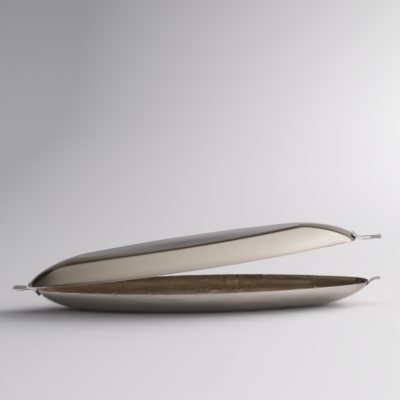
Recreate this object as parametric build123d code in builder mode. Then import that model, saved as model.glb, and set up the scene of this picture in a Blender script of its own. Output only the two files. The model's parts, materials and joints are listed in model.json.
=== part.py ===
from build123d import *
from math import atan, atan2, cos, degrees, pi, radians, sin, sqrt, tan
import os

os.makedirs("parts", exist_ok=True)

# A fish poacher of pressed stainless steel. Two identical half shells, long pointed ovals with a flat
# crown, lie rim to rim. Each carries a slotted tab at one end and a stepped tongue at the other, so the
# lid is the bowl turned end for end. The lid stands open, its tongue hooked under the bowl's tab.
# The origin is the middle of the bowl's flat base, +X towards the bowl's tongue and +Z up.

# Shell
half_length = 256.0          # middle to tip, at the rim
half_width = 80.0            # middle to side, at the rim
tip_radius = 34.0            # plan radius of the rim round its tips
depth = 35.5                 # rim plane to the outside of the base
base_half_length = 174.0     # flat part of the base
base_half_width = 42.0
base_tip_radius = 19.5
sheet = 1.2
end_curve = (1.7, 1.4)       # powers of depth and inset that bend the end walls
side_curve = (1.75, 1.75)    # the same for the side walls, steep at the rim and round towards the base
bands = 9                    # bands that a wall is lofted in, narrow near the rim and near the base
band_power = 1.4

# Fittings, bent from strip and spot welded to the end walls
strip = 1.5
bend_radius = 2.2            # to the middle of the strip
leg_level = 0.2              # where a leg lies against the wall, as a share of the depth
weld_seat = 0.35             # how far the leg is hollowed to seat on the wall
corner = 2.0                 # plan radius of a strip's outer corners

tab_width = 30.0
tab_reach = 36.5             # tip of the rim to the tab's end
tab_leg = 14.0
slot_width = 20.0
slot_start = 0.5
slot_end = 20.5
slot_corner = 3.0
bowl_tab_tilt = 2.0          # degrees towards the open side
lid_tab_tilt = 4.5

tongue_width = 17.5
tongue_reach = 17.5
tongue_leg = 10.0
tongue_step = 3.3            # rise of the tongue towards the open side
tongue_step_end = 9.0

# Pose of the open lid, measured at the tip of its rim over the bowl's slotted tab
lid_angle = 7.05             # degrees
lid_shift = 11.8             # out over the tab
lid_lift = 2.6               # above the bowl's rim plane

# Rack, a slotted plate with two bails of the same strip
rack_band = 6                # the wall's edge, counted from the rim, that the rack lies on
rack_gap = 0.4
rack_sheet = 1.2
rack_slots = 6               # on each side of the middle
rack_slot_pitch = 23.0
rack_slot_width = 9.0
rack_slot_margin = 13.0      # end of a slot to the edge of the plate
loop_width = 36.0
loop_depth = 10.0
loop_height = 13.0
loop_radius = 4.0            # to the middle of the strip
loop_place = 150.0           # from the middle of the rack

bowl_rim = Plane(origin=(0, 0, depth), x_dir=(1, 0, 0), z_dir=(0, 0, 1))
lid_slope = (cos(radians(lid_angle)), sin(radians(lid_angle)))
lid_rim = Plane(
    origin=(
        half_length * lid_slope[0] - half_length - lid_shift,
        0,
        half_length * lid_slope[1] + depth + lid_lift,
    ),
    x_dir=(-lid_slope[0], 0, -lid_slope[1]),
    z_dir=(lid_slope[1], 0, -lid_slope[0]),
)
levels = [sin(pi / 2 * i / bands) ** band_power for i in range(bands + 1)]


def inset(level, curve):
    """Share of the way from the rim to the base's edge that a wall has gone in at a level."""
    depth_power, inset_power = curve
    return 1 - (1 - level**depth_power) ** (1 / inset_power)


def wall_angle(level, curve, run):
    """Angle of a wall to the rim plane, from the slope of the inset over a short step."""
    step = 0.001
    gain = inset(level + step, curve) - inset(max(level - step, 0), curve)
    span = step + min(level, step)
    return atan(depth / (run * gain / span))


def outside(level):
    """Half length, half width, tip radius and height of the shell's outer outline at a level."""
    end = inset(level, end_curve)
    long = half_length - (half_length - base_half_length) * end
    wide = half_width - (half_width - base_half_width) * inset(level, side_curve)
    tip = tip_radius - (tip_radius - base_tip_radius) * end
    return long, wide, tip, -depth * level


def inside(level):
    """The same for the inner outline, one sheet thickness in along the wall's normal."""
    long, wide, tip, height = outside(level)
    if level == 1:
        return long, wide, tip, height + sheet
    lift = sheet * sqrt(level)
    end = wall_angle(level, end_curve, half_length - base_half_length)
    side = wall_angle(level, side_curve, half_width - base_half_width)
    end_shift = (sheet - lift * cos(end)) / sin(end)
    side_shift = (sheet - lift * cos(side)) / sin(side)
    return long - end_shift, wide - side_shift, tip - end_shift, height + lift


def side_arc(long, wide, tip):
    """Radius of an oval's side arcs, and the angle from the middle of a side to where a tip arc starts."""
    radius = ((long - tip) ** 2 + wide**2 - tip**2) / (2 * (wide - tip))
    return radius, atan2(long - tip, radius - wide)


def oval(long, wide, tip):
    """Pointed oval of four tangent arcs, one along each side and one round each tip."""
    radius, angle = side_arc(long, wide, tip)
    turn = degrees(angle)
    with BuildSketch() as outline:
        with BuildLine():
            CenterArc((0, radius - wide), radius, 270 - turn, 2 * turn)
            CenterArc((long - tip, 0), tip, turn - 90, 180 - 2 * turn)
            CenterArc((0, wide - radius), radius, 90 - turn, 2 * turn)
            CenterArc((tip - long, 0), tip, 90 + turn, 180 - 2 * turn)
        make_face()
    return outline.sketch


def form(rim, outline):
    """Solid between the rim plane and the base, lofted band by band."""
    with BuildPart() as block:
        for level in levels:
            long, wide, tip, height = outline(level)
            with BuildSketch(rim.offset(height)):
                add(oval(long, wide, tip))
        loft(ruled=True)
    return block.part


def fitting(rim, points, width, reach, blank):
    """Strip bent along points (out from the rim's tip, towards the open side), seated on the wall.

    A negative reach puts it at the -x end of the rim plane.
    """
    end = 1 if reach > 0 else -1
    side = Plane(origin=rim.origin, x_dir=rim.x_dir, z_dir=-rim.y_dir)
    tip = end * half_length
    trim_length = 2 * abs(reach)
    with BuildPart() as bent:
        with BuildSketch(side):
            with BuildLine():
                FilletPolyline(*[(tip + end * out, rise) for out, rise in points], radius=bend_radius)
            trace(line_width=strip)
        extrude(amount=width / 2, both=True)
        with BuildSketch(rim):
            with Locations((tip + reach - end * trim_length / 2, 0)):
                RectangleRounded(trim_length, width, corner)
        extrude(amount=trim_length, both=True, mode=Mode.INTERSECT)
        add(blank, mode=Mode.SUBTRACT)
    return bent.part


def leg_line(length):
    """Start and corner of a strip's middle line, the leg lying on the end wall at leg_level."""
    long, _, _, height = outside(leg_level)
    angle = wall_angle(leg_level, end_curve, half_length - base_half_length)
    off = strip / 2 - weld_seat
    touch_out = long - half_length + off * sin(angle)
    touch_rise = height - off * cos(angle)
    corner_out = touch_out - touch_rise / tan(angle)
    start = (corner_out - length * cos(angle), -length * sin(angle))
    return start, (corner_out, 0)


def slotted_tab(rim, blank, tilt):
    """Long tab at the -x end, with the slot that the other shell's tongue drops into."""
    start, bend = leg_line(tab_leg)
    rise = (tab_reach - bend[0]) * tan(radians(tilt))
    bent = fitting(rim, [start, bend, (tab_reach, rise)], tab_width, -tab_reach, blank)
    with BuildPart() as tab:
        add(bent)
        with BuildSketch(rim):
            with Locations((-half_length - (slot_start + slot_end) / 2, 0)):
                RectangleRounded(slot_end - slot_start, slot_width, slot_corner)
        extrude(amount=tab_reach, both=True, mode=Mode.SUBTRACT)
    return tab.part


def hook_tongue(rim, blank):
    """Short tongue at the +x end, stepped towards the open side."""
    start, bend = leg_line(tongue_leg)
    points = [start, bend, (tongue_step_end, tongue_step), (tongue_reach, tongue_step)]
    return fitting(rim, points, tongue_width, tongue_reach, blank)


bowl_blank = form(bowl_rim, outside)
bowl_core = form(bowl_rim, inside)
lid_blank = form(lid_rim, outside)
lid_core = form(lid_rim, inside)

with BuildPart() as bowl_shell:
    add(bowl_blank)
    add(bowl_core, mode=Mode.SUBTRACT)
bowl_shell.part.label = "bowl_shell"
export_step(bowl_shell.part, "parts/bowl_shell.step")

with BuildPart() as bowl_slotted_tab:
    add(slotted_tab(bowl_rim, bowl_blank, bowl_tab_tilt))
bowl_slotted_tab.part.label = "bowl_slotted_tab"
export_step(bowl_slotted_tab.part, "parts/bowl_slotted_tab.step")

with BuildPart() as bowl_hook_tongue:
    add(hook_tongue(bowl_rim, bowl_blank))
bowl_hook_tongue.part.label = "bowl_hook_tongue"
export_step(bowl_hook_tongue.part, "parts/bowl_hook_tongue.step")

with BuildPart() as lid_shell:
    add(lid_blank)
    add(lid_core, mode=Mode.SUBTRACT)
lid_shell.part.label = "lid_shell"
export_step(lid_shell.part, "parts/lid_shell.step")

with BuildPart() as lid_slotted_tab:
    add(slotted_tab(lid_rim, lid_blank, lid_tab_tilt))
lid_slotted_tab.part.label = "lid_slotted_tab"
export_step(lid_slotted_tab.part, "parts/lid_slotted_tab.step")

with BuildPart() as lid_hook_tongue:
    add(hook_tongue(lid_rim, lid_blank))
lid_hook_tongue.part.label = "lid_hook_tongue"
export_step(lid_hook_tongue.part, "parts/lid_hook_tongue.step")

rack_long, rack_wide, rack_tip, rack_drop = inside(levels[rack_band])
rack_long -= rack_gap
rack_wide -= rack_gap
rack_floor = depth + rack_drop
rack_top = rack_floor + rack_sheet
rack_radius, _ = side_arc(rack_long, rack_wide, rack_tip)

with BuildPart() as rack_plate:
    with BuildSketch(Plane.XY.offset(rack_floor)):
        add(oval(rack_long, rack_wide, rack_tip))
        for i in range(rack_slots):
            place = (i + 0.5) * rack_slot_pitch
            edge = sqrt(rack_radius**2 - place**2) - (rack_radius - rack_wide)
            with Locations((-place, 0), (place, 0)):
                SlotOverall(2 * (edge - rack_slot_margin), rack_slot_width, rotation=90, mode=Mode.SUBTRACT)
    extrude(amount=rack_sheet)
rack_plate.part.label = "rack_plate"
export_step(rack_plate.part, "parts/rack_plate.step")


def lift_loop(place):
    """Strip bent to a low arch across the rack, its legs welded on the plate."""
    leg = (loop_width - strip) / 2
    crown = rack_top + loop_height - strip / 2
    with BuildPart() as loop:
        with BuildSketch(Plane.YZ.offset(place)):
            with BuildLine():
                FilletPolyline((-leg, rack_top), (-leg, crown), (leg, crown), (leg, rack_top), radius=loop_radius)
            trace(line_width=strip)
        extrude(amount=loop_depth / 2, both=True)
    return loop.part


with BuildPart() as rack_loop_left:
    add(lift_loop(-loop_place))
rack_loop_left.part.label = "rack_loop_left"
export_step(rack_loop_left.part, "parts/rack_loop_left.step")

with BuildPart() as rack_loop_right:
    add(lift_loop(loop_place))
rack_loop_right.part.label = "rack_loop_right"
export_step(rack_loop_right.part, "parts/rack_loop_right.step")
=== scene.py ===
import bpy
import bmesh
import json
from math import atan, atan2, cos, pi, radians, sin, sqrt, tan
from mathutils import Matrix, Quaternion, Vector


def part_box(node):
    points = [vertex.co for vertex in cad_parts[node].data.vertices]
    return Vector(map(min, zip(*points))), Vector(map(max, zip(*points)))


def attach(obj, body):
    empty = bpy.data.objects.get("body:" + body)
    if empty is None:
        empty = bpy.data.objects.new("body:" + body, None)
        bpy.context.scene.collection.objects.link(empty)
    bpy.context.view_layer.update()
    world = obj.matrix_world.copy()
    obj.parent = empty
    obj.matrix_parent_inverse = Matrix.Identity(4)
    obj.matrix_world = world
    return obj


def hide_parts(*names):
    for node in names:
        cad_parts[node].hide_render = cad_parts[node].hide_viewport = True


# Fish poacher, pressed stainless steel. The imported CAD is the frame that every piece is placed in.
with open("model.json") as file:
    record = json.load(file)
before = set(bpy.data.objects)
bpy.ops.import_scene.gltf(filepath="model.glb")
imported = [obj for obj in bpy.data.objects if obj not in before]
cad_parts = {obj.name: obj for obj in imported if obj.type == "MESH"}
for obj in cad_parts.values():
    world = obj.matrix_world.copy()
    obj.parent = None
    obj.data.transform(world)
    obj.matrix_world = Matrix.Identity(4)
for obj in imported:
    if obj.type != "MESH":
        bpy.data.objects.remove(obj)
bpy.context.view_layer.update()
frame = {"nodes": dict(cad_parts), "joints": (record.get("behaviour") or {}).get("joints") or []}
mm = 0.001
print("frame loaded:", ", ".join(sorted(frame["nodes"])))


def linear(colour):
    # sRGB hex to the linear colour that Blender's sockets take; a number is a linear grey already
    if not isinstance(colour, str):
        return [colour] * 3 + [1.0]
    channels = [int(colour[i:i + 2], 16) / 255 for i in (1, 3, 5)]
    return [c / 12.92 if c <= 0.04045 else ((c + 0.055) / 1.055) ** 2.4 for c in channels] + [1.0]


def addNode(tree, kind, settings=None, links=None):
    # one node: settings are its options, unlinked inputs or a ramp's stops, and links join inputs to sockets.
    # A mix of colours takes them at inputs 6 and 7 and gives the result at output 2.
    node = tree.nodes.new(kind)
    for key, value in (settings or {}).items():
        if key == "stops":
            ramp = node.color_ramp
            ramp.elements[0].position, ramp.elements[1].position = value[0][0], value[-1][0]
            for place, _ in value[1:-1]:
                ramp.elements.new(place)
            for element, (_, colour) in zip(ramp.elements, value):
                element.color = linear(colour)
        elif isinstance(key, str) and hasattr(node, key):
            setattr(node, key, value)
        else:
            node.inputs[key].default_value = value
    for key, socket in (links or {}).items():
        tree.links.new(socket, node.inputs[key])
    return node


def newMaterial(name):
    material = bpy.data.materials.new(name)
    material.use_nodes = True
    material.node_tree.nodes.clear()
    return material, material.node_tree


def newObject(name, data):
    piece = bpy.data.objects.new(name, data)
    bpy.context.scene.collection.objects.link(piece)
    return piece


# camera of the photograph, fitted to both rims
cameraSet = {
    "place": (252.2, -3011.3, 607.9),    # mm
    "aim": (0.8, 21.5, 163.0),           # mm
    "roll": -2.19,                       # degrees about its own axis
    "lens": 180,                         # mm
    "sensor": 36,
    "farthest": 60,                      # m
}


def makeCamera():
    data = bpy.data.cameras.new("camera")
    data.lens = cameraSet["lens"]
    data.sensor_width = cameraSet["sensor"]
    data.clip_end = cameraSet["farthest"]
    camera = newObject("camera", data)
    place, aim = Vector(cameraSet["place"]) * mm, Vector(cameraSet["aim"]) * mm
    level = (aim - place).to_track_quat("-Z", "Y")
    camera.rotation_mode = "QUATERNION"
    camera.rotation_quaternion = level @ Quaternion((0, 0, 1), radians(cameraSet["roll"]))
    camera.location = place
    bpy.context.scene.camera = camera


# studio: one pale sheet of matt paper that curves up behind the object
studio = {
    "halfWidth": 7.0,                    # m
    "front": -7.0,
    "back": 2.4,
    "sweep": 1.2,                        # radius of the bend up from floor to backdrop
    "sweepSteps": 24,
    "top": 1.3,
    "drop": 0.1 * mm,                    # the paper lies this far below the base
    # the paper's tone below is painted shade: darker towards the unlit side, lighter towards the lit side
    "shadedSide": -0.6,                  # m, where the paper's tone starts and stops changing
    "litSide": 0.6,
    "tone": [(0.0, "#949396"), (0.5, "#c3c1c3"), (1.0, "#e7e6e7")],
    # painted fall of light up the backdrop, taken off the backdrop's own light
    "paintedLightFall": [(0.0, 1.0), (0.11, 0.92), (0.25, 0.80), (0.60, 0.76), (0.80, 0.42), (1.0, 0.36)],
    "glowFrom": 0.35,                    # m behind the object, where the backdrop's own light takes over
    "glowFull": 1.5,
    "glow": 1.25,
}


def makePaper():
    # matt paper: no gloss, with painted shade that darkens it towards the unlit side, and a painted fall of
    # light up the backdrop
    material, tree = newMaterial("mattPaper")
    where = addNode(tree, "ShaderNodeTexCoord")
    axes = addNode(tree, "ShaderNodeSeparateXYZ", links={"Vector": where.outputs["Object"]})
    # painted shade: the paper's colour darkens from the lit side to the unlit side
    across = addNode(tree, "ShaderNodeMapRange",
                     {"From Min": studio["shadedSide"], "From Max": studio["litSide"]},
                     {"Value": axes.outputs["X"]})
    tone = addNode(tree, "ShaderNodeValToRGB", {"stops": studio["tone"]}, {"Fac": across.outputs["Result"]})
    skin = addNode(tree, "ShaderNodeBsdfDiffuse", {"Roughness": 1.0}, {"Color": tone.outputs["Color"]})
    # the backdrop's own light, for the camera and for what the steel mirrors; the floor keeps its shadows
    # painted fall of light with height, multiplied into the backdrop's own light
    upward = addNode(tree, "ShaderNodeMapRange", {"From Min": 0.0, "From Max": studio["top"]},
                     {"Value": axes.outputs["Z"]})
    paintedLightFall = addNode(tree, "ShaderNodeValToRGB", {"stops": studio["paintedLightFall"]}, {"Fac": upward.outputs["Result"]})
    mixed = addNode(tree, "ShaderNodeMix", {"data_type": "RGBA", "blend_type": "MULTIPLY", "Factor": 1.0},
                    {6: tone.outputs["Color"], 7: paintedLightFall.outputs["Color"]})
    glow = addNode(tree, "ShaderNodeEmission", {"Strength": studio["glow"]}, {"Color": mixed.outputs[2]})
    ray = addNode(tree, "ShaderNodeLightPath")
    seen = addNode(tree, "ShaderNodeMath", {"operation": "MAXIMUM"},
                   {0: ray.outputs["Is Camera Ray"], 1: ray.outputs["Is Glossy Ray"]})
    behind = addNode(tree, "ShaderNodeMapRange",
                     {"interpolation_type": "SMOOTHSTEP", "From Min": studio["glowFrom"],
                      "From Max": studio["glowFull"]}, {"Value": axes.outputs["Y"]})
    share = addNode(tree, "ShaderNodeMath", {"operation": "MULTIPLY"},
                    {0: seen.outputs["Value"], 1: behind.outputs["Result"]})
    paperSkin = addNode(tree, "ShaderNodeMixShader",
                        links={0: share.outputs["Value"], 1: skin.outputs["BSDF"],
                               2: glow.outputs["Emission"]})
    addNode(tree, "ShaderNodeOutputMaterial", links={"Surface": paperSkin.outputs["Shader"]})

    steps = studio["sweepSteps"]
    line = [(studio["front"], 0.0)]
    for i in range(steps + 1):
        turn = pi / 2 * i / steps
        line.append((studio["back"] + studio["sweep"] * sin(turn), studio["sweep"] * (1 - cos(turn))))
    line.append((studio["back"] + studio["sweep"], studio["top"]))
    points, faces = [], []
    for y, z in line:
        points += [(side * studio["halfWidth"], y, z - studio["drop"]) for side in (-1, 1)]
    for i in range(len(line) - 1):
        faces.append((2 * i, 2 * i + 1, 2 * i + 3, 2 * i + 2))
    mesh = bpy.data.meshes.new("paper")
    mesh.from_pydata(points, [], faces)
    mesh.polygons.foreach_set("use_smooth", [True] * len(faces))
    mesh.materials.append(material)
    paper = newObject("paper", mesh)


# sky by its angle over the object, 0 at the horizon behind, 90 overhead, 180 at the horizon in front: the
# steel mirrors what is "seen", and the paper is lit by "light" and the window
sky = {
    "seen": [(0, "#96918d"), (20, "#96918d"), (30, "#858079"), (37, "#6b635b"), (41, "#463e38"),
             (51, "#463e38"), (54, "#8f867d"), (57, "#e0e0dd"), (110, "#e0e0dd"), (140, "#dcdcd8"),
             (158, "#cbc9c5"), (164, "#96938e"), (170, "#5c5853"), (180, "#3f3b37")],
    "light": [(0, 0.20), (45, 0.12), (58, 1.0), (92, 1.0), (108, 0.12), (180, 0.20)],
    # the share of it from the unlit left to the lit right, by the direction's X
    "seenSide": [(-0.70, "#3a3734"), (-0.65, "#7d7a75"), (-0.46, "#a19f9a"), (-0.18, "#c1c1bf"),
                 (0.13, "#d8d9db"), (0.33, "#f3f7fc"), (1.0, "#f3f7fc")],
    "lightSide": [(-0.80, 0.25), (-0.30, 0.25), (0.10, 0.45), (0.60, 0.90), (1.00, 1.0)],
    "frontShare": 0.37,                  # how much less its X counts in front, and more behind
    "cornerRise": 1.8,                   # how much higher the dark back reaches to the left and the right
    "seenStrength": 1.9,
    "lightStrength": 3.6,
    "window": (0.85, 0.45, 0.27),        # towards the window, low on the right and a little behind
    "windowEdge": (0.84, 0.92),          # cosines of the angles from it where its light starts and is full
    "windowStrength": 23.0,
}


def makeSky():
    # two skies in one, what the steel mirrors and a soft light from overhead with a window's beside it
    world = bpy.data.worlds.new("studioSky")
    world.use_nodes = True
    tree = world.node_tree
    tree.nodes.clear()
    where = addNode(tree, "ShaderNodeTexCoord")
    axes = addNode(tree, "ShaderNodeSeparateXYZ", links={"Vector": where.outputs["Generated"]})
    aside = addNode(tree, "ShaderNodeMath", {"operation": "ABSOLUTE"}, {0: axes.outputs["X"]})
    away = addNode(tree, "ShaderNodeMath", {"operation": "MAXIMUM", 1: 0.0}, {0: axes.outputs["Y"]})
    corner = addNode(tree, "ShaderNodeMath", {"operation": "MULTIPLY"},
                     {0: aside.outputs["Value"], 1: away.outputs["Value"]})
    height = addNode(tree, "ShaderNodeMath", {"operation": "MULTIPLY_ADD", 1: -sky["cornerRise"]},
                     {0: corner.outputs["Value"], 2: axes.outputs["Z"]})
    rise = addNode(tree, "ShaderNodeMath", {"operation": "ARCTAN2"},
                   {0: height.outputs["Value"], 1: axes.outputs["Y"]})
    half = addNode(tree, "ShaderNodeMath", {"operation": "DIVIDE", 1: pi}, {0: rise.outputs["Value"]})
    depth = addNode(tree, "ShaderNodeMath", {"operation": "MULTIPLY_ADD", 1: -sky["frontShare"], 2: 1.0},
                    {0: axes.outputs["Y"]})
    turn = addNode(tree, "ShaderNodeMath", {"operation": "DIVIDE"},
                   {0: axes.outputs["X"], 1: depth.outputs["Value"]})
    across = {"seen": turn.outputs["Value"], "light": axes.outputs["X"]}
    lamps = []
    for name in ("seen", "light"):
        arch = addNode(tree, "ShaderNodeValToRGB",
                       {"stops": [(angle / 180, tone) for angle, tone in sky[name]]},
                       {"Fac": half.outputs["Value"]})
        place = addNode(tree, "ShaderNodeMapRange", {"From Min": -1.0, "From Max": 1.0},
                        {"Value": across[name]})
        side = addNode(tree, "ShaderNodeValToRGB",
                       {"stops": [((x + 1) / 2, share) for x, share in sky[name + "Side"]]},
                       {"Fac": place.outputs["Result"]})
        both = addNode(tree, "ShaderNodeMix", {"data_type": "RGBA", "blend_type": "MULTIPLY", "Factor": 1.0},
                       {6: arch.outputs["Color"], 7: side.outputs["Color"]})
        lamps.append(addNode(tree, "ShaderNodeBackground", {"Strength": sky[name + "Strength"]},
                             {"Color": both.outputs[2]}))
    towards = Vector(sky["window"]).normalized()
    facing = addNode(tree, "ShaderNodeVectorMath", {"operation": "DOT_PRODUCT", 1: towards},
                     {0: where.outputs["Generated"]})
    start, full = sky["windowEdge"]
    pane = addNode(tree, "ShaderNodeMapRange",
                   {"From Min": start, "From Max": full, "To Max": sky["windowStrength"]},
                   {"Value": facing.outputs["Value"]})
    window = addNode(tree, "ShaderNodeBackground", {"Color": linear("#ffffff")},
                     {"Strength": pane.outputs["Result"]})
    soft = addNode(tree, "ShaderNodeAddShader",
                   links={0: lamps[1].outputs["Background"], 1: window.outputs["Background"]})
    ray = addNode(tree, "ShaderNodeLightPath")
    light = addNode(tree, "ShaderNodeMixShader",
                    links={0: ray.outputs["Is Diffuse Ray"], 1: lamps[0].outputs["Background"],
                           2: soft.outputs["Shader"]})
    addNode(tree, "ShaderNodeOutputWorld", links={"Surface": light.outputs["Shader"]})
    bpy.context.scene.world = world


# Finishes of the drawn sheet. Sizes in mm.
drawnSteel = {
    "lineGap": 1.2,                      # polishing lines: 0.1 apart in fact, coarser so that they show
    "lineLength": 70,
    "cloudSize": 45,
    "cloudNoise": (0.3, 0.7),            # noise where the steel is brightest and dullest
    "nickSize": 3.5,
    "nickEdge": (0.76, 0.80),            # noise above which a nick starts and is full
    "nickDulls": 0.2,
    "nickSeed": 3,                       # on top of the finish's own
    "nickColour": "#6a635b",
    "lineDepth": 0.05,
    "outside": {"name": "polishedDrawnStainless", "tint": ("#cdc3bb", "#d5cbc4"), "gloss": (0.10, 0.17),
                "grain": 0.05, "seed": 1.0},
    "inside": {"name": "satinDrawnStainlessInside", "tint": ("#cbbaa5", "#d4c4b0"), "gloss": (0.24, 0.30),
               "grain": 0.006, "seed": 2.0},
}


def makeDrawnSteel(side):
    # Stainless sheet, deep drawn and then polished along its length with a fine wheel: a soft mirror, with
    # faint lengthwise lines, cloudy changes of gloss where hands and cloths go, and a few small nicks.
    look = drawnSteel[side]
    material, tree = newMaterial(look["name"])
    where = addNode(tree, "ShaderNodeAttribute", {"attribute_name": "own"})
    gap, length = drawnSteel["lineGap"] * mm, drawnSteel["lineLength"] * mm
    along = addNode(tree, "ShaderNodeMapping", {"Scale": (1 / length, 1 / gap, 1 / gap)},
                    {"Vector": where.outputs["Vector"]})
    lines = addNode(tree, "ShaderNodeTexNoise",
                    {"noise_dimensions": "4D", "W": look["seed"], "Scale": 1.0, "Detail": 3.0},
                    {"Vector": along.outputs["Vector"]})
    clouds = addNode(tree, "ShaderNodeTexNoise",
                     {"noise_dimensions": "4D", "W": look["seed"], "Detail": 4.0, "Roughness": 0.6,
                      "Scale": 1 / (drawnSteel["cloudSize"] * mm)}, {"Vector": where.outputs["Vector"]})
    nicks = addNode(tree, "ShaderNodeTexNoise",
                    {"noise_dimensions": "4D", "W": look["seed"] + drawnSteel["nickSeed"], "Detail": 1.0,
                     "Scale": 1 / (drawnSteel["nickSize"] * mm)}, {"Vector": where.outputs["Vector"]})
    start, full = drawnSteel["nickEdge"]
    nickMask = addNode(tree, "ShaderNodeValToRGB", {"stops": [(start, 0.0), (full, 1.0)]},
                       {"Fac": nicks.outputs["Fac"]})
    (thin, thick), (bright, dull) = drawnSteel["cloudNoise"], look["gloss"]
    cloudy = addNode(tree, "ShaderNodeMapRange",
                     {"From Min": thin, "From Max": thick, "To Min": bright, "To Max": dull},
                     {"Value": clouds.outputs["Fac"]})
    roughness = addNode(tree, "ShaderNodeMath", {"operation": "MULTIPLY_ADD", 1: drawnSteel["nickDulls"]},
                        {0: nickMask.outputs["Color"], 2: cloudy.outputs["Result"]})
    tone = addNode(tree, "ShaderNodeMix",
                   {"data_type": "RGBA", 6: linear(look["tint"][0]), 7: linear(look["tint"][1])},
                   {"Factor": clouds.outputs["Fac"]})
    worn = addNode(tree, "ShaderNodeMix", {"data_type": "RGBA", 7: linear(drawnSteel["nickColour"])},
                   {"Factor": nickMask.outputs["Color"], 6: tone.outputs[2]})
    relief = addNode(tree, "ShaderNodeBump",
                     {"Strength": look["grain"], "Distance": drawnSteel["lineDepth"] * mm},
                     {"Height": lines.outputs["Fac"]})
    skin = addNode(tree, "ShaderNodeBsdfPrincipled", {"Metallic": 1.0},
                   {"Base Color": worn.outputs[2], "Roughness": roughness.outputs["Value"],
                    "Normal": relief.outputs["Normal"]})
    addNode(tree, "ShaderNodeOutputMaterial", links={"Surface": skin.outputs["BSDF"]})
    return material


# Finish of the bent strip. Sizes in mm.
stripFinish = {
    "colour": "#c4c1bd",
    "grainSize": (18, 0.5, 3),           # along the strip, across it and through it
    "grainDepth": 0.05,
    "grain": 0.15,
    "gloss": (0.2, 0.36),
    "seed": 3.0,
}


def makeStripSteel():
    # Cold rolled stainless strip, sheared and bent: a duller, greyer grain that runs along the strip.
    material, tree = newMaterial("shearedStripStainless")
    where = addNode(tree, "ShaderNodeAttribute", {"attribute_name": "own"})
    scale = [1 / (size * mm) for size in stripFinish["grainSize"]]
    along = addNode(tree, "ShaderNodeMapping", {"Scale": scale}, {"Vector": where.outputs["Vector"]})
    lines = addNode(tree, "ShaderNodeTexNoise",
                    {"noise_dimensions": "4D", "W": stripFinish["seed"], "Scale": 1.0, "Detail": 3.0},
                    {"Vector": along.outputs["Vector"]})
    low, high = stripFinish["gloss"]
    roughness = addNode(tree, "ShaderNodeMapRange", {"To Min": low, "To Max": high},
                        {"Value": lines.outputs["Fac"]})
    relief = addNode(tree, "ShaderNodeBump",
                     {"Strength": stripFinish["grain"], "Distance": stripFinish["grainDepth"] * mm},
                     {"Height": lines.outputs["Fac"]})
    skin = addNode(tree, "ShaderNodeBsdfPrincipled",
                   {"Metallic": 1.0, "Base Color": linear(stripFinish["colour"])},
                   {"Roughness": roughness.outputs["Result"], "Normal": relief.outputs["Normal"]})
    addNode(tree, "ShaderNodeOutputMaterial", links={"Surface": skin.outputs["BSDF"]})
    return material


# Finish of the rack's plate. Sizes in mm.
punchedFinish = {
    "colour": "#cac7c2",
    "turns": (24, -61),                  # degrees, the two ways that it was scoured
    "scratchLength": 25,
    "scratchWidth": 0.6,                 # 0.05 in fact, wider so that it shows
    "scratchDepth": 0.05,
    "scratches": 0.12,
    "scratchNoise": (0.3, 0.6),          # noise at the bottom of a scratch and clear of it
    "gloss": (0.34, 0.22),               # roughness at the same two
    "seed": 4.0,
}


def makePunchedSteel():
    # Cold rolled stainless sheet, punched: an even dull silver, with fine scratches from being scoured.
    material, tree = newMaterial("punchedStainlessSheet")
    where = addNode(tree, "ShaderNodeAttribute", {"attribute_name": "own"})
    length, width = punchedFinish["scratchLength"] * mm, punchedFinish["scratchWidth"] * mm
    heights = []
    for turn in punchedFinish["turns"]:
        along = addNode(tree, "ShaderNodeMapping",
                        {"vector_type": "TEXTURE", "Rotation": (0, 0, radians(turn)),
                         "Scale": (length, width, width)}, {"Vector": where.outputs["Vector"]})
        heights.append(addNode(tree, "ShaderNodeTexNoise",
                               {"noise_dimensions": "4D", "W": punchedFinish["seed"], "Scale": 1.0},
                               {"Vector": along.outputs["Vector"]}))
    both = addNode(tree, "ShaderNodeMath", {"operation": "MINIMUM"},
                   {0: heights[0].outputs["Fac"], 1: heights[1].outputs["Fac"]})
    (deep, clear), (dull, bright) = punchedFinish["scratchNoise"], punchedFinish["gloss"]
    roughness = addNode(tree, "ShaderNodeMapRange",
                        {"From Min": deep, "From Max": clear, "To Min": dull, "To Max": bright},
                        {"Value": both.outputs["Value"]})
    depth = punchedFinish["scratchDepth"] * mm
    relief = addNode(tree, "ShaderNodeBump", {"Strength": punchedFinish["scratches"], "Distance": depth},
                     {"Height": both.outputs["Value"]})
    skin = addNode(tree, "ShaderNodeBsdfPrincipled",
                   {"Metallic": 1.0, "Base Color": linear(punchedFinish["colour"])},
                   {"Roughness": roughness.outputs["Result"], "Normal": relief.outputs["Normal"]})
    addNode(tree, "ShaderNodeOutputMaterial", links={"Surface": skin.outputs["BSDF"]})
    return material


# Drawn shell: a long pointed oval with a flat crown. The lid is the bowl turned end for end. Sizes in mm.
_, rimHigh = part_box("bowl_shell")
shell = {
    "halfLength": rimHigh.x / mm,
    "halfWidth": rimHigh.y / mm,
    "depth": rimHigh.z / mm,
    "tipRadius": 34.0,                   # plan radius of the rim round its tips
    "baseHalfLength": 174.0,
    "baseHalfWidth": 42.0,
    "baseTipRadius": 19.5,
    "sheet": 1.2,
    # how the walls curve in with depth: powers of depth and inset, and the share that is a straight taper
    "endCurve": (1.7, 1.4, 0.0),
    "sideCurve": (2.6, 1.75, 0.245),     # straight by the rim, round towards the base
    "rimRound": 0.35,                    # the rim's edges are broken with a file
    "rimSteps": 4,
    "crown": {"bowl": 0.0, "lid": 1.8},  # swell of the base, the bowl's being flat to stand on
    "crownHalfWidth": 52.0,              # where that swell ends on the side wall
    "crownDepth": 0.5,                   # share of the depth below which it is full
    "crownRings": 10,
    "levels": 40,
    "levelPower": 1.4,                   # crowds the rings towards the rim and the base
    "sideParts": 80,                     # divisions of a side arc and of a tip arc
    "tipParts": 26,
}

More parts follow.
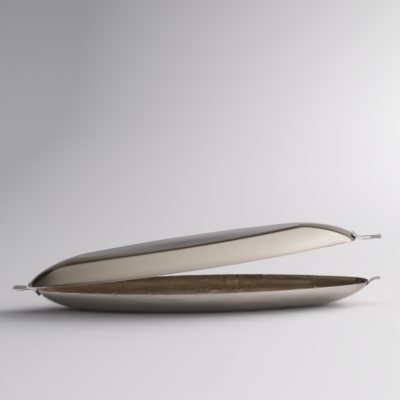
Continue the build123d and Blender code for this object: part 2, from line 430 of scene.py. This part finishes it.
# Open lid, measured at the tip of its rim over the bowl's slotted tab
lidTilt = next(joint for joint in frame["joints"] if joint["name"] == "lid_tilt")
lidPose = {
    "angle": -lidTilt["range_deg"][0],
    "shift": 11.8,
    "lift": 2.6,
}


def rimMatrix(body):
    # the shell's own frame: its rim plane, with Z towards its open side, in metres
    length, depth = shell["halfLength"], shell["depth"]
    if body == "bowl":
        return Matrix.Translation(Vector((0, 0, depth)) * mm)
    angle = radians(lidPose["angle"])
    origin = Vector((length * cos(angle) - length - lidPose["shift"], 0,
                     length * sin(angle) + depth + lidPose["lift"]))
    turned = Matrix(((-cos(angle), 0, sin(angle)), (0, 1, 0), (-sin(angle), 0, -cos(angle)))).to_4x4()
    return Matrix.Translation(origin * mm) @ turned


def settle(mesh, matrix):
    # keeps each point's own place in an attribute for the textures, then moves the mesh where it belongs
    own = mesh.attributes.new("own", "FLOAT_VECTOR", "POINT")
    own.data.foreach_set("vector", [number for vert in mesh.vertices for number in vert.co])
    mesh.transform(matrix)


def inset(level, curve):
    # share of the way from the rim to the base's edge that a wall has gone in at a level
    depthPower, insetPower, straight = curve
    return straight * level + (1 - straight) * (1 - (1 - level ** depthPower) ** (1 / insetPower))


def wallAngle(level, curve, run):
    # angle of a wall to the rim plane, from the slope of the inset over a short step
    step = 0.001
    low, high = max(level - step, 0), min(level + step, 1)
    return atan(shell["depth"] * (high - low) / (run * (inset(high, curve) - inset(low, curve))))


def outerRing(level):
    # half length, half width, tip radius and height of the outer outline
    end, side = inset(level, shell["endCurve"]), inset(level, shell["sideCurve"])
    return (shell["halfLength"] - (shell["halfLength"] - shell["baseHalfLength"]) * end,
            shell["halfWidth"] - (shell["halfWidth"] - shell["baseHalfWidth"]) * side,
            shell["tipRadius"] - (shell["tipRadius"] - shell["baseTipRadius"]) * end,
            -shell["depth"] * level)


def innerRing(level):
    # the same, one sheet in along the wall's normal
    long, wide, tip, height = outerRing(level)
    sheet = shell["sheet"]
    if level == 1:
        return long, wide, tip, height + sheet
    rise = sheet * sqrt(level)
    end = wallAngle(level, shell["endCurve"], shell["halfLength"] - shell["baseHalfLength"])
    side = wallAngle(level, shell["sideCurve"], shell["halfWidth"] - shell["baseHalfWidth"])
    endShift = (sheet - rise * cos(end)) / sin(end)
    sideShift = (sheet - rise * cos(side)) / sin(side)
    return long - endShift, wide - sideShift, tip - endShift, height + rise


def shrunk(ring, shift, height):
    long, wide, tip, _ = ring
    return long - shift, wide - shift, tip - shift, height


def scaled(ring, scale):
    long, wide, tip, height = ring
    return long * scale, wide * scale, tip * scale, height


def swell(point, body):
    # the crown's gentle dome, dying out at the ends of the base and on the side walls
    across, out = point.x / (shell["baseHalfLength"] * mm), point.y / (shell["crownHalfWidth"] * mm)
    share = max(0.0, 1 - across ** 2 - out ** 2) ** 2
    deep = min(1.0, max(0.0, -point.z / (shell["depth"] * mm * shell["crownDepth"])))
    return Vector((0, 0, -shell["crown"][body] * mm * share * deep))


def ringPoints(ring):
    # pointed oval of four tangent arcs, anticlockwise seen from the open side, in metres
    long, wide, tip, height = ring
    radius = ((long - tip) ** 2 + wide ** 2 - tip ** 2) / (2 * (wide - tip))
    turn = atan2(long - tip, radius - wide)
    arcs = [
        ((0, radius - wide), radius, -pi / 2 - turn, 2 * turn, shell["sideParts"]),
        ((long - tip, 0), tip, turn - pi / 2, pi - 2 * turn, shell["tipParts"]),
        ((0, wide - radius), radius, pi / 2 - turn, 2 * turn, shell["sideParts"]),
        ((tip - long, 0), tip, pi / 2 + turn, pi - 2 * turn, shell["tipParts"]),
    ]
    points = []
    for (x, y), size, start, sweep, parts in arcs:
        for i in range(parts):
            angle = start + sweep * i / parts
            points.append(Vector((x + size * cos(angle), y + size * sin(angle), height)) * mm)
    return points


def shellRings():
    # rings outside from base to rim, round its edge and inside to the floor, and where the inside starts
    steps, edge = shell["levels"], shell["rimRound"]
    levels = [sin(pi / 2 * i / steps) ** shell["levelPower"] for i in range(1, steps + 1)]
    parts = shell["crownRings"]
    scales = [(i + 0.5) / (parts + 0.5) for i in range(parts)]
    rings = [scaled(outerRing(1), scale) for scale in scales]
    rings += [outerRing(level) for level in reversed(levels) if outerRing(level)[3] < -edge]
    turns = [pi / 2 * i / shell["rimSteps"] for i in range(shell["rimSteps"] + 1)]
    rings += [shrunk(outerRing(0), edge * (1 - cos(a)), edge * (sin(a) - 1)) for a in turns]
    firstInner = len(rings)
    lip = innerRing(0)
    rings += [shrunk(lip, edge * (cos(a) - 1), edge * (sin(a) - 1)) for a in reversed(turns)]
    for level in levels:
        ring = innerRing(level)
        if ring[3] < rings[-1][3] and ring[1] < rings[-1][1]:
            rings.append(ring)
    floor = rings[-1]
    rings += [scaled(floor, scale) for scale in reversed(scales)]
    return rings, firstInner


def makeShell(name, body, outerMaterial, innerMaterial):
    rings, firstInner = shellRings()
    mesh = bpy.data.meshes.new(name)
    points = [point + swell(point, body) for ring in rings for point in ringPoints(ring)]
    count = len(points) // len(rings)
    faces, slots = [tuple(reversed(range(count)))], [0]
    for row in range(len(rings) - 1):
        for i in range(count):
            j = (i + 1) % count
            low, high = row * count, (row + 1) * count
            faces.append((low + i, low + j, high + j, high + i))
            slots.append(1 if row >= firstInner else 0)
    faces.append(tuple(range(len(points) - count, len(points))))
    slots.append(1)
    mesh.from_pydata(points, [], faces)
    mesh.materials.append(outerMaterial)
    mesh.materials.append(innerMaterial)
    mesh.polygons.foreach_set("material_index", slots)
    mesh.polygons.foreach_set("use_smooth", [True] * len(faces))
    mesh.update()
    settle(mesh, rimMatrix(body))
    return newObject(name, mesh)


# Fittings, bent from sheared strip and spot welded on the end walls. Sizes in mm.
strip = {
    "thick": 1.5,
    "bend": 2.2,                         # to the middle of the strip
    "edge": 0.18,                        # tumbled edges
    "bendSteps": 8,
    "cornerSteps": 6,
    "sharpAngle": 16,                    # degrees, an edge that turns more is a true corner
    "corner": 2.0,                       # plan radius of the outer corners
    "legCorner": 0.8,
    "legLevel": 0.2,                     # where a leg lies on the wall, as a share of the depth
    "weldSeat": 0.35,                    # how far the leg is sunk into the wall
    "weldPlace": 4.4,                    # from the foot of the leg
    "weldSize": 2.1,                     # radius of a spot weld's dimple
    "weldDip": 0.22,
    "weldParts": (24, 12),               # divisions round a dimple and down it
}
tab = {
    "width": 30.0,
    "reach": 36.5,                       # tip of the rim to the tab's end
    "leg": 14.0,
    "slot": (0.5, 20.5),                 # start and end, out from the tip of the rim
    "slotWidth": 20.0,
    "slotCorner": 3.0,
    "tilt": {"bowl": 2.0, "lid": 4.5},   # degrees towards the open side
    "welds": 8.5,                        # from the middle, sideways
}
tongue = {
    "width": 17.5,
    "reach": 17.5,
    "leg": 10.0,
    "step": 3.3,                         # rise towards the open side
    "stepEnd": 9.0,
    "welds": 4.5,
}


def oblong(first, last, half):
    # corners of a rectangle that lies along X, anticlockwise
    return [(first, -half), (last, -half), (last, half), (first, half)]


def roundedCorners(corners, radii):
    # closed outline with its corners rounded, as points
    points = []
    count, steps = len(corners), strip["cornerSteps"]
    for i, size in enumerate(radii):
        corner = Vector(corners[i])
        before = (Vector(corners[i - 1]) - corner).normalized()
        after = (Vector(corners[(i + 1) % count]) - corner).normalized()
        middle = corner + size * (before + after)
        start = corner + size * before - middle
        turn = start.angle_signed(corner + size * after - middle)
        for k in range(steps + 1):
            a = -turn * k / steps
            x, y = start.x * cos(a) - start.y * sin(a), start.x * sin(a) + start.y * cos(a)
            points.append(middle + Vector((x, y)))
    return points


class BentLine:
    # straight runs joined by arcs; place(u) gives the point and direction at a length along it
    def __init__(self, points, radius):
        self.parts, self.bends = [], []
        points = [Vector(p) for p in points]
        start, length = points[0], 0.0
        for i in range(1, len(points)):
            along = (points[i] - start).normalized()
            if i == len(points) - 1:
                self.parts.append((length, start, along, 0.0))
                length += (points[i] - start).length
                break
            after = (points[i + 1] - points[i]).normalized()
            turn = atan2(along.x * after.y - along.y * after.x, along.dot(after))
            back = radius * tan(abs(turn) / 2)
            self.parts.append((length, start, along, 0.0))
            length += (points[i] - along * back - start).length
            start = points[i] - along * back
            self.parts.append((length, start, along, turn / (radius * abs(turn))))
            self.bends.append((length, length + radius * abs(turn)))
            length += radius * abs(turn)
            start = points[i] + after * back
        self.length = length

    def place(self, u):
        begin, start, along, bend = [p for p in self.parts if p[0] <= max(u, 0)][-1]
        run = u - begin
        heading = atan2(along.y, along.x)
        if bend == 0:
            return start + along * run, heading
        turned = heading + bend * run
        return start + Vector((sin(turned) - sin(heading), cos(heading) - cos(turned))) / bend, turned


def flatBlank(name, outlines, thick, edge):
    # sheet cut to the outlines, the first the outside and the rest holes, with its edges broken
    curve = bpy.data.curves.new(name, "CURVE")
    curve.dimensions = "2D"
    curve.fill_mode = "BOTH"
    curve.extrude = (thick / 2 - edge) * mm
    curve.bevel_depth = edge * mm
    curve.bevel_resolution = 1
    curve.offset = -edge * mm
    for outline in outlines:
        spline = curve.splines.new("POLY")
        spline.points.add(len(outline) - 1)
        spline.use_cyclic_u = True
        for point, (x, y) in zip(spline.points, outline):
            point.co = (x * mm, y * mm, 0, 1)
    source = bpy.data.objects.new(name + "_outline", curve)
    mesh = bpy.data.meshes.new_from_object(source)
    bpy.data.objects.remove(source)
    work = bmesh.new()
    work.from_mesh(mesh)
    joined = 0.002 * mm                  # points nearer than this become one
    bmesh.ops.remove_doubles(work, verts=work.verts, dist=joined)
    work.to_mesh(mesh)
    work.free()
    mesh.name = name
    return mesh


def pressWelds(mesh, spots):
    # shallow round dimples on both faces, where the electrodes pressed
    piece = newObject("blank", mesh)
    size, dip = strip["weldSize"] * mm, strip["weldDip"] * mm
    shape = Matrix.Diagonal((size, size, dip, 1))
    around, down = strip["weldParts"]
    work = bmesh.new()
    for x, y in spots:
        for side in (-1, 1):
            centre = Matrix.Translation(Vector((x, y, side * strip["thick"] / 2)) * mm)
            bmesh.ops.create_uvsphere(work, u_segments=around, v_segments=down, radius=1,
                                      matrix=centre @ shape)
    dimples = bpy.data.meshes.new("dimples")
    work.to_mesh(dimples)
    work.free()
    cutter = newObject("dimples", dimples)
    cut = piece.modifiers.new("press", "BOOLEAN")
    cut.object = cutter
    cut.operation = "DIFFERENCE"
    cut.solver = "EXACT"
    bpy.context.view_layer.update()
    pressed = bpy.data.meshes.new_from_object(piece.evaluated_get(bpy.context.evaluated_depsgraph_get()))
    bpy.data.objects.remove(piece)
    bpy.data.objects.remove(cutter)
    return pressed


def bendBlank(mesh, line, put, mirrored):
    # the blank lies along +X from 0; put gives the place of a point from its way out, its rise and its side
    work = bmesh.new()
    work.from_mesh(mesh)
    near = 0.0001 * mm                   # a point this near to a cut counts as on it
    cuts, steps = [], strip["bendSteps"]
    for first, last in line.bends:
        cuts += [first + (last - first) * i / steps for i in range(steps + 1)]
    for u in cuts:
        everything = work.verts[:] + work.edges[:] + work.faces[:]
        bmesh.ops.bisect_plane(work, geom=everything, plane_co=(u * mm, 0, 0), plane_no=(1, 0, 0),
                               dist=near)
    for vert in work.verts:
        u, v, t = vert.co / mm
        point, heading = line.place(u)
        vert.co = Vector(put(point.x - t * sin(heading), point.y + t * cos(heading), v)) * mm
    if mirrored:
        bmesh.ops.reverse_faces(work, faces=work.faces)
    work.to_mesh(mesh)
    work.free()


def smoothByAngle(mesh):
    # smooth shading with the true corners kept
    limit = radians(strip["sharpAngle"])
    work = bmesh.new()
    work.from_mesh(mesh)
    for face in work.faces:
        face.smooth = True
    for edge in work.edges:
        edge.smooth = len(edge.link_faces) == 2 and edge.calc_face_angle(0) < limit
    work.to_mesh(mesh)
    work.free()


def sheetPiece(name, mesh, material, matrix):
    # a finished blank as a piece: shaded, given its steel and put where it belongs
    smoothByAngle(mesh)
    mesh.materials.clear()
    mesh.materials.append(material)
    settle(mesh, matrix)
    return newObject(name, mesh)


def legLine(length):
    # start and corner of a strip's middle line, the leg lying on the end wall
    long, _, _, height = outerRing(strip["legLevel"])
    angle = wallAngle(strip["legLevel"], shell["endCurve"], shell["halfLength"] - shell["baseHalfLength"])
    off = strip["thick"] / 2 - strip["weldSeat"]
    touchOut = long - shell["halfLength"] + off * sin(angle)
    touchRise = height - off * cos(angle)
    cornerOut = touchOut - touchRise / tan(angle)
    return (cornerOut - length * cos(angle), -length * sin(angle)), (cornerOut, 0)


def lengthAt(line, out):
    # length along the line where it passes a distance out from the rim's tip
    low, high = 0.0, line.length
    halvings = 40
    for _ in range(halvings):
        middle = (low + high) / 2
        low, high = (middle, high) if line.place(middle)[0].x < out else (low, middle)
    return low


def makeFitting(name, body, end, points, size, material):
    line = BentLine(points, strip["bend"])
    half, corner, heel = size["width"] / 2, strip["corner"], strip["legCorner"]
    outlines = [roundedCorners(oblong(0, line.length, half), [heel, corner, corner, heel])]
    if "slot" in size:
        first, last = [lengthAt(line, out) for out in size["slot"]]
        slot = oblong(first, last, size["slotWidth"] / 2)
        outlines.append(roundedCorners(slot, [size["slotCorner"]] * 4))
    mesh = flatBlank(name, outlines, strip["thick"], strip["edge"])
    mesh = pressWelds(mesh, [(strip["weldPlace"], -size["welds"]), (strip["weldPlace"], size["welds"])])
    tip = shell["halfLength"]
    bendBlank(mesh, line, lambda out, rise, side: (end * (tip + out), side, rise), end < 0)
    return sheetPiece(name, mesh, material, rimMatrix(body))


def makeHalf(body, steels, stripSteel):
    pressed = makeShell(body + "Shell", body, *steels)
    start, corner = legLine(tab["leg"])
    rise = (tab["reach"] - corner[0]) * tan(radians(tab["tilt"][body]))
    line = [start, corner, (tab["reach"], rise)]
    slotted = makeFitting(body + "SlottedTab", body, -1, line, tab, stripSteel)
    start, corner = legLine(tongue["leg"])
    line = [start, corner, (tongue["stepEnd"], tongue["step"]), (tongue["reach"], tongue["step"])]
    hook = makeFitting(body + "HookTongue", body, 1, line, tongue, stripSteel)
    for piece, node, slot in ((pressed, "shell", "shell_steel"), (slotted, "slotted_tab", "strip_steel"),
                              (hook, "hook_tongue", "strip_steel")):
        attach(piece, body)
        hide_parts(body + "_" + node)
    print(body, "made:", len(pressed.data.polygons), "faces in the shell")


# Rack that lifts the fish out: a slotted plate with two bails of bent strip welded on it. Sizes in mm.
plateLow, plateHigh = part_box("rack_plate")
bailLow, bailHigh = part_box("rack_loop_right")
rack = {
    "halfLength": plateHigh.x / mm,
    "halfWidth": plateHigh.y / mm,
    "tipRadius": 24.9,                   # plan radius of its tips
    "low": plateLow.z / mm,
    "high": plateHigh.z / mm,
    "edge": 0.15,
    "slots": 6,                          # on each side of the middle
    "pitch": 23.0,
    "slotWidth": 9.0,
    "slotMargin": 13.0,                  # end of a slot to the edge of the plate
    "slotRound": 0.98,                   # radius of a slot's corners, as a share of half its width
    "bailPlace": (bailLow.x + bailHigh.x) / 2 / mm,
    "bailDepth": (bailHigh.x - bailLow.x) / mm,
    "bailWidth": (bailHigh.y - bailLow.y) / mm,
    "bailHeight": (bailHigh.z - bailLow.z) / mm,
    "bailBend": 4.0,                     # to the middle of the strip
}


def makePlate(name, material):
    long, wide, tip = rack["halfLength"], rack["halfWidth"], rack["tipRadius"]
    outlines = [[(point.x / mm, point.y / mm) for point in ringPoints((long, wide, tip, 0))]]
    radius = ((long - tip) ** 2 + wide ** 2 - tip ** 2) / (2 * (wide - tip))
    half = rack["slotWidth"] / 2
    for i in range(rack["slots"]):
        place = (i + 0.5) * rack["pitch"]
        reach = sqrt(radius ** 2 - place ** 2) - (radius - wide) - rack["slotMargin"]
        for x in (-place, place):
            slot = oblong(x - half, x + half, reach)
            outlines.append(roundedCorners(slot, [half * rack["slotRound"]] * 4))
    mesh = flatBlank(name, outlines, rack["high"] - rack["low"], rack["edge"])
    middle = (rack["low"] + rack["high"]) / 2
    return sheetPiece(name, mesh, material, Matrix.Translation((0, 0, middle * mm)))


def makeBail(name, place, material):
    leg, rise = (rack["bailWidth"] - strip["thick"]) / 2, rack["bailHeight"] - strip["thick"] / 2
    line = BentLine([(-leg, 0), (-leg, rise), (leg, rise), (leg, 0)], rack["bailBend"])
    outline = oblong(0, line.length, rack["bailDepth"] / 2)
    mesh = flatBlank(name, [outline], strip["thick"], strip["edge"])
    bendBlank(mesh, line, lambda out, height, side: (side, out, height), True)
    return sheetPiece(name, mesh, material, Matrix.Translation(Vector((place, 0, rack["high"])) * mm))


def makeRack(plateSteel, bailSteel):
    for piece, node in ((makePlate("rackPlate", plateSteel), "rack_plate"),
                        (makeBail("rackLoopLeft", -rack["bailPlace"], bailSteel), "rack_loop_left"),
                        (makeBail("rackLoopRight", rack["bailPlace"], bailSteel), "rack_loop_right")):
        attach(piece, "rack")
        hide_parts(node)
    print("rack made:", 2 * rack["slots"], "slots and 2 bails")


makeCamera()
makePaper()
makeSky()
print("camera and studio made")

drawnSteels = makeDrawnSteel("outside"), makeDrawnSteel("inside")
stripSteel, punchedSteel = makeStripSteel(), makePunchedSteel()
print("steels made")

makeHalf("bowl", drawnSteels, stripSteel)
makeHalf("lid", drawnSteels, stripSteel)
makeRack(punchedSteel, stripSteel)

bpy.context.scene.view_settings.view_transform = "Standard"
